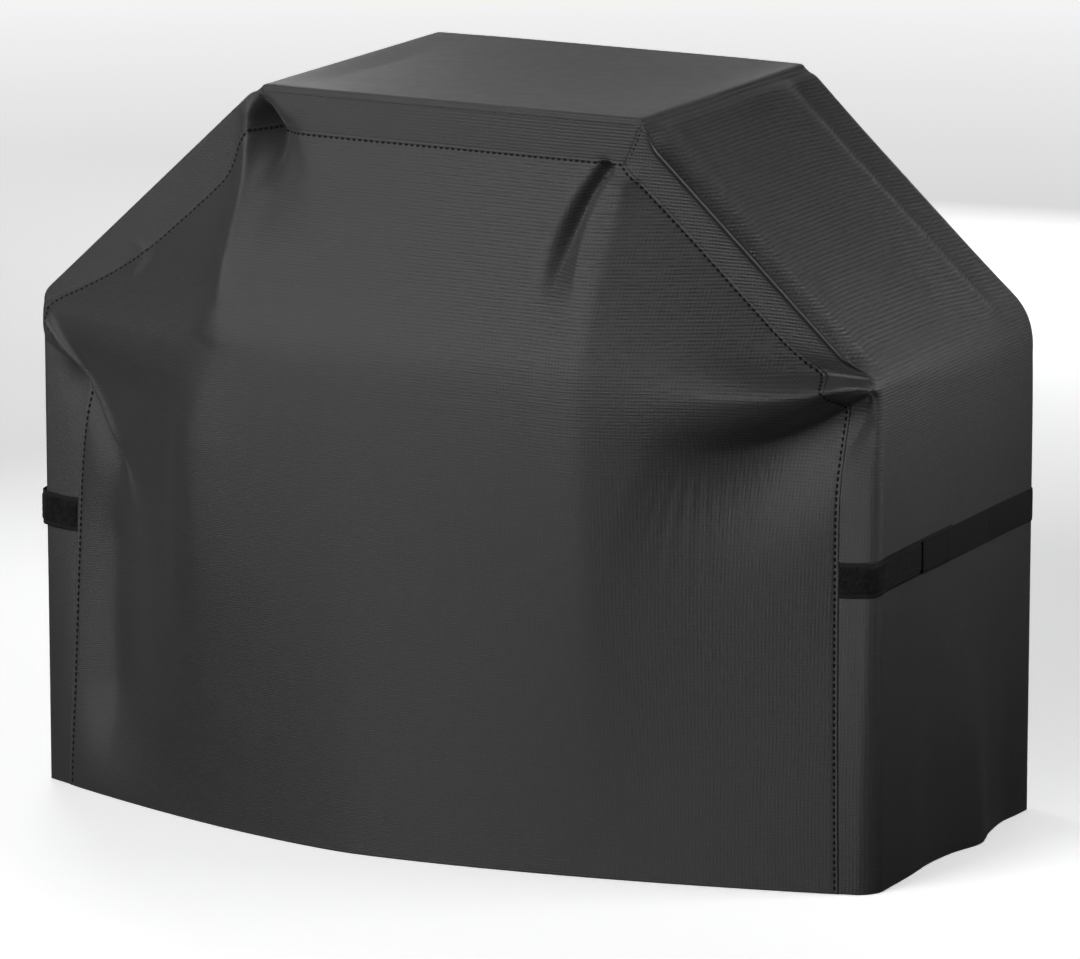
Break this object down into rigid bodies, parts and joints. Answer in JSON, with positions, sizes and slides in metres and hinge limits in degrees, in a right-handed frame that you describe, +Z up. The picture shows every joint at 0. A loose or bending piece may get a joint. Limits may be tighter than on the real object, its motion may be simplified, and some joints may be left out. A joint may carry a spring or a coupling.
{
  "type": "grill cover",
  "caption": "Fitted fabric cover for a grill: open below, flat on top with sloping shoulders, a stitched-in front panel and a hook-and-loop strap low on each side.",
  "frame": {"origin": "bottom centre of the whole object's box, on the surface that the hem stands on", "axes": "+Z up, the front panel faces -Y, +X to the right as seen from the front"},
  "size_m": [1.4798, 0.764, 1.165],
  "materials": {
    "cover_fabric": "satin",
    "thread": "matte",
    "binding_tape": "satin",
    "webbing": "matte",
    "loop_pile": "matte",
    "hook_plastic": "matte"
  },
  "bodies": {
    "cover": {"top_panel": "cover_fabric", "right_side_panel": "cover_fabric", "left_side_panel": "cover_fabric", "front_panel": "cover_fabric", "back_panel": "cover_fabric", "front_seam_thread": "thread", "back_seam_thread": "thread", "top_edge_thread": "thread", "front_seam_binding": "binding_tape", "back_seam_binding": "binding_tape", "right_top_binding": "binding_tape", "left_top_binding": "binding_tape", "front_hem_tape": "binding_tape", "back_hem_tape": "binding_tape", "right_hem_tape": "binding_tape", "left_hem_tape": "binding_tape", "right_loop_strip": "loop_pile", "right_strap_root": "webbing", "right_loop_stitches": "thread", "right_anchor_stitches": "thread", "left_loop_strip": "loop_pile", "left_strap_root": "webbing", "left_loop_stitches": "thread", "left_anchor_stitches": "thread"},
    "right_strap": {"right_strap": "webbing"},
    "right_tab": {"right_strap_tab": "webbing", "right_hook_patch": "hook_plastic", "right_tab_stitches": "thread"},
    "left_strap": {"left_strap": "webbing"},
    "left_tab": {"left_strap_tab": "webbing", "left_hook_patch": "hook_plastic", "left_tab_stitches": "thread"}
  },
  "joints": [
    {"name": "right_strap_swing", "type": "hinge", "parent": "cover", "child": "right_strap", "pos_m": [0.737, 0.3395, 0.497], "axis": [0, 0, 1], "range_deg": [0, 120]},
    {"name": "right_tab_peel", "type": "hinge", "parent": "right_strap", "child": "right_tab", "pos_m": [0.7394, 0.0555, 0.497], "axis": [0, 0, 1], "range_deg": [0, 150]},
    {"name": "left_strap_swing", "type": "hinge", "parent": "cover", "child": "left_strap", "pos_m": [-0.737, 0.3395, 0.452], "axis": [0, 0, -1], "range_deg": [0, 120]},
    {"name": "left_tab_peel", "type": "hinge", "parent": "left_strap", "child": "left_tab", "pos_m": [-0.7394, 0.0555, 0.452], "axis": [0, 0, -1], "range_deg": [0, 150]}
  ]
}
